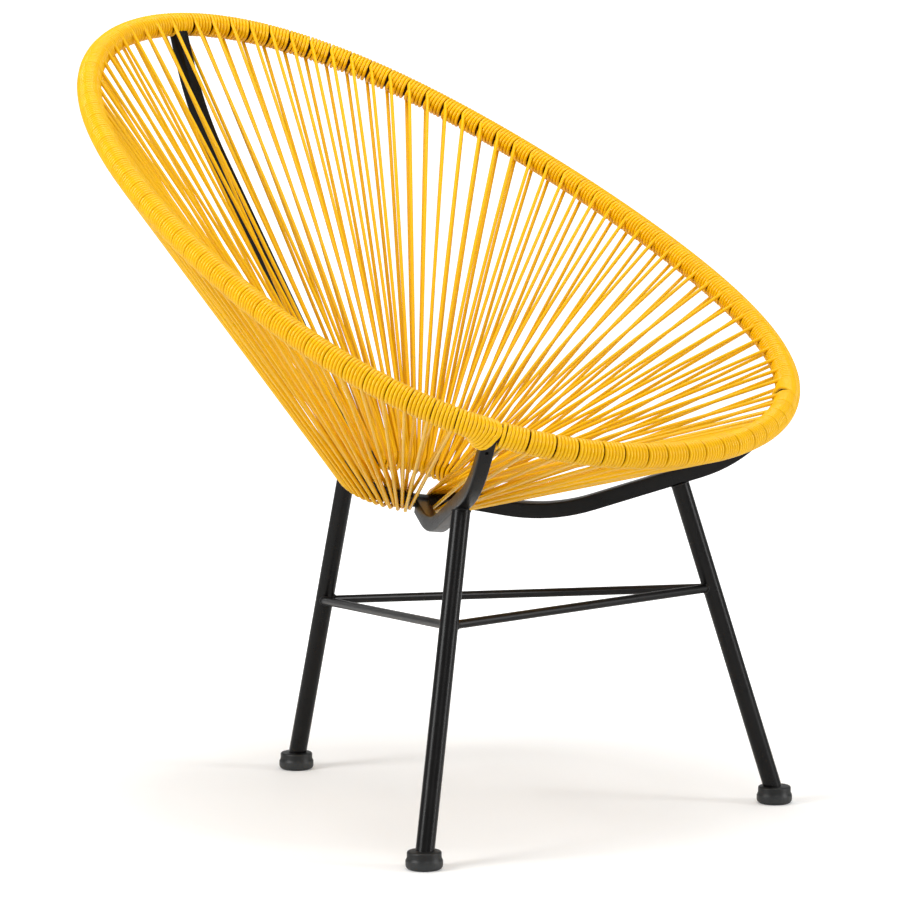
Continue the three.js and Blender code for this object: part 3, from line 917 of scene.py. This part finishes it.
def make_leg(name, ankle, top, normal):
    """A round bar past the strut's lower face, cut off along it."""
    way = (top - ankle).normalized()
    start = ankle - way * LEG_IN_FOOT
    length = (top - start).length + LEG_SPARE
    points = [start + way * (length * k / LEG_STEPS) for k in range(LEG_STEPS + 1)]
    made = round_bar(name, points, LEG_RADIUS, LEG_SIDES, PAINT)
    work = bmesh.new()
    work.from_mesh(made.data)
    cut = bmesh.ops.bisect_plane(
        work, geom=[*work.verts, *work.edges, *work.faces], plane_co=top * MM, plane_no=-normal,
        clear_outer=True)
    mitre = [item for item in cut["geom_cut"] if isinstance(item, bmesh.types.BMEdge)]
    bmesh.ops.contextual_create(work, geom=mitre)
    work.to_mesh(made.data)
    work.free()
    facing_out(made)
    return smooth_by_angle(made)


def foot_profile():
    """From the middle of the underside, round the edge and up to the mouth."""
    points = [(0, 0)]
    for k in range(FOOT_EDGE_STEPS + 1):
        angle = math.pi / 2 * k / FOOT_EDGE_STEPS
        points.append((
            FOOT_RADIUS - FOOT_EDGE + FOOT_EDGE * math.sin(angle),
            FOOT_EDGE - FOOT_EDGE * math.cos(angle)))
    points += [(FOOT_RADIUS - inward, height) for inward, height in FOOT_STEP]
    shoulder = FOOT_HEIGHT - FOOT_SHOULDER_DROP
    points += [(FOOT_TOP_RADIUS, FOOT_STEP_TOP), (FOOT_TOP_RADIUS, shoulder)]
    for k in range(1, FOOT_SHOULDER_STEPS + 1):
        angle = math.pi / 2 * k / FOOT_SHOULDER_STEPS
        points.append((
            FOOT_TOP_RADIUS - FOOT_SHOULDER_EDGE * (1 - math.cos(angle)),
            shoulder + FOOT_SHOULDER_EDGE * math.sin(angle)))
    points += [(radius, FOOT_HEIGHT - drop) for radius, drop in FOOT_MOUTH]
    points.append((0, FOOT_HEIGHT))
    return points


def make_foot(name, foot):
    """The foot's profile turned about its own upright axis."""
    profile = foot_profile()
    points = [Vector((foot[0], foot[1], height)) for radius, height in (profile[0], profile[-1])]
    rings = []
    for radius, height in profile[1:-1]:
        ring = []
        for k in range(FOOT_SIDES):
            turn = FULL_TURN * k / FOOT_SIDES
            ring.append(len(points))
            points.append(Vector((
                foot[0] + radius * math.cos(turn), foot[1] + radius * math.sin(turn), height)))
        rings.append(ring)
    faces = []
    for k in range(FOOT_SIDES):
        following = (k + 1) % FOOT_SIDES
        faces.append((0, rings[0][following], rings[0][k]))
        faces.append((1, rings[-1][k], rings[-1][following]))
        for low, high in zip(rings, rings[1:]):
            faces.append((low[k], low[following], high[following], high[k]))
    made = new_object(name, points, (), faces)
    made.data.materials.append(FOOT)
    facing_out(made)
    return smooth_by_angle(made, FOOT_CREASE)


# Welds
def make_weld(name, points, radius):
    made = round_bar(name, points, radius, WELD_SIDES, WELD, True, WELD_WANDER, WELD_GRAIN)
    placed(made, "frame_steel")


def leg_weld(name, ankle, top, normal):
    """The bead where a leg's mitred end meets the strut above it."""
    way = (top - ankle).normalized()
    side = way.cross(normal).normalized()
    over = way.cross(side).normalized()
    points = []
    for k in range(LEG_BEAD_STEPS):
        turn = FULL_TURN * k / LEG_BEAD_STEPS
        ray = side * math.cos(turn) * LEG_RADIUS + over * math.sin(turn) * LEG_RADIUS
        rise = (top - ankle - ray).dot(normal) / way.dot(normal)
        points.append(ankle + ray + way * (rise - LEG_BEAD_SINK))
    make_weld(name, points, LEG_BEAD_RADIUS)


def rod_weld(name, joint, other, leg_way):
    """The bead round a brace rod's end on its leg."""
    way = (other - joint).normalized()
    side = way.cross(leg_way).normalized()
    over = side.cross(way).normalized()
    points = []
    for k in range(ROD_BEAD_STEPS):
        turn = FULL_TURN * k / ROD_BEAD_STEPS
        ray = side * math.cos(turn) * ROD_RADIUS + over * math.sin(turn) * ROD_RADIUS
        aside = (ray - leg_way * ray.dot(leg_way)).length
        depth = math.sqrt(max(LEG_RADIUS ** 2 - aside ** 2, 0.0))
        points.append(joint + ray + way * (depth + ROD_BEAD_OUT))
    make_weld(name, points, ROD_BEAD_RADIUS)


# Frame
def make_rings():
    rim_points = [rim.at(rim.length * k / RIM_STEPS) for k in range(RIM_STEPS)]
    # The rim bar's red-brown is painted bounce light from the cord wound on it.
    bar = round_bar("rim_bar", rim_points, RIM_TUBE_RADIUS, RIM_SIDES, RIM_BOUNCE_LIGHT, True)
    placed(bar, "frame_steel", "rim_tube")
    hub_points = [hub_at(FULL_TURN * k / HUB_RING_STEPS) for k in range(HUB_RING_STEPS)]
    bar = round_bar("hub_bar", hub_points, HUB_TUBE_RADIUS, HUB_SIDES, PAINT, True)
    placed(bar, "frame_steel", "hub_ring")


def make_support(place, azimuth, tilt, foot, reach):
    """A strut with its leg and foot. Returns the leg's ankle and direction."""
    line, start, end = back_strut() if place == "back" else front_strut()
    plane = StrutPlane(azimuth, tilt, start, end)
    strut = make_strut(f"seat_strut_{place}", line, plane)
    if place != "back":
        vented(strut, plane, end)
    placed(strut, "frame_steel", f"strut_{place}")
    ankle, top, normal = leg_ends(line, plane, foot, reach)
    placed(make_leg(f"tube_leg_{place}", ankle, top, normal), "frame_steel", f"leg_{place}")
    placed(make_foot(f"moulded_foot_{place}", foot), "foot_plastic", f"foot_{place}")
    leg_weld(f"leg_weld_{place}", ankle, top, normal)
    return ankle, (top - ankle).normalized()


def on_leg(leg, height):
    ankle, way = leg
    return ankle + way * ((height - ankle.z) / way.z)


def make_rods(legs):
    left = on_leg(legs["left"], FRONT_ROD_HEIGHT)
    right = on_leg(legs["right"], FRONT_ROD_HEIGHT)
    rear = on_leg(legs["back"], BACK_ROD_HEIGHT)
    beside_left = Vector((BACK_ROD_OFFSET, rear.y, rear.z))
    beside_right = Vector((-BACK_ROD_OFFSET, rear.y, rear.z))
    rods = {
        "front": (left, right, "left", "right"),
        "left": (left, beside_left, "left", "back"),
        "right": (right, beside_right, "right", "back"),
    }
    for place, (start, end, first, second) in rods.items():
        points = [start.lerp(end, k / ROD_STEPS) for k in range(ROD_STEPS + 1)]
        rod = round_bar(f"brace_rod_{place}", points, ROD_RADIUS, ROD_SIDES, PAINT)
        placed(rod, "frame_steel", f"brace_{place}")
        rod_weld(f"rod_weld_{place}_a", start, end, legs[first][1])
        rod_weld(f"rod_weld_{place}_b", end, start, legs[second][1])


def make_frame():
    make_rings()
    right_foot = (-FRONT_FOOT[0], FRONT_FOOT[1])
    make_rods({
        "left": make_support("left", STRUT_AZIMUTH, STRUT_TILT, FRONT_FOOT, FRONT_LEG_REACH),
        "right": make_support("right", -STRUT_AZIMUTH, -STRUT_TILT, right_foot, FRONT_LEG_REACH),
        "back": make_support("back", math.pi, 0, BACK_FOOT, BACK_LEG_REACH),
    })


# Stage, light and camera
def floor_material():
    """Pale to light and shadow, and white to the camera away from the chair."""
    shader = Shader("pale floor")
    speck = shader.noise(3.0, 3.0, 0.5)
    colour = shader.mix(speck, rgb(236, 236, 235), rgb(240, 240, 239))
    seen = shader.node("ShaderNodeLightPath", out="Is Camera Ray")
    apart = shader.node(
        "ShaderNodeVectorMath", {"operation": "LENGTH"}, {0: shader.object_place()}, out="Value")
    glow = seen * (apart.between(0.3, 1.0) * 0.6 + 0.1)
    return shader.surface(
        Base_Color=colour, Roughness=0.75, Emission_Color=glow, Emission_Strength=1.0)


def make_stage():
    line = [Vector((0, -STAGE_SIZE / 2, 0)), Vector((0, STAGE_BACK, 0))]
    for k in range(1, STAGE_BEND_STEPS + 1):
        angle = math.pi / 2 * k / STAGE_BEND_STEPS
        back = STAGE_BACK + STAGE_BEND * math.sin(angle)
        line.append(Vector((0, back, STAGE_BEND - STAGE_BEND * math.cos(angle))))
    line.append(Vector((0, STAGE_BACK + STAGE_BEND, STAGE_TOP)))
    turn = Matrix.Rotation(-STAGE_TURN, 3, "Z")
    points = []
    for place in line:
        for side in (-STAGE_SIZE / 2, STAGE_SIZE / 2):
            points.append(turn @ Vector((side, place.y, place.z)))
    faces = [(2 * k, 2 * k + 1, 2 * k + 3, 2 * k + 2) for k in range(len(line) - 1)]
    floor = new_object("studio_floor", points, (), faces)
    for face in floor.data.polygons:
        face.use_smooth = True
    floor.data.materials.append(floor_material())


def area_light(name, place, target, size, watts):
    data = bpy.data.lights.new(name, "AREA")
    data.shape = "RECTANGLE"
    data.size, data.size_y = size
    data.energy = watts
    made = bpy.data.objects.new(name, data)
    made.location = place
    way = Vector(target) - Vector(place)
    made.rotation_euler = way.to_track_quat("-Z", "Y").to_euler()
    bpy.context.scene.collection.objects.link(made)


def make_light():
    world = bpy.data.worlds.new("studio")
    world.use_nodes = True
    background = world.node_tree.nodes["Background"]
    background.inputs["Color"].default_value = (1, 1, 1, 1)
    background.inputs["Strength"].default_value = WORLD_STRENGTH
    bpy.context.scene.world = world
    for light in LIGHTS:
        area_light(*light)


def make_camera():
    to_camera = Vector((
        -math.sin(CAMERA_YAW) * math.cos(CAMERA_RISE),
        -math.cos(CAMERA_YAW) * math.cos(CAMERA_RISE),
        math.sin(CAMERA_RISE)))
    right = Vector((math.cos(CAMERA_YAW), -math.sin(CAMERA_YAW), 0))
    upward = to_camera.cross(right)
    place = Vector(CAMERA_TARGET) + to_camera * CAMERA_DISTANCE - right * CAMERA_ASIDE
    place -= upward * CAMERA_DOWN
    data = bpy.data.cameras.new("camera")
    data.sensor_width = SENSOR_WIDTH
    data.lens = CAMERA_FOCUS * SENSOR_WIDTH / PICTURE_WIDTH
    data.clip_end = 100
    camera = bpy.data.objects.new("camera", data)
    turn = Matrix((right, upward, to_camera)).transposed()
    camera.matrix_world = Matrix.Translation(place * MM) @ turn.to_4x4()
    bpy.context.scene.collection.objects.link(camera)
    bpy.context.scene.camera = camera


make_cords()
make_frame()
make_stage()
make_light()
make_camera()
bpy.context.scene.view_settings.view_transform = "Standard"
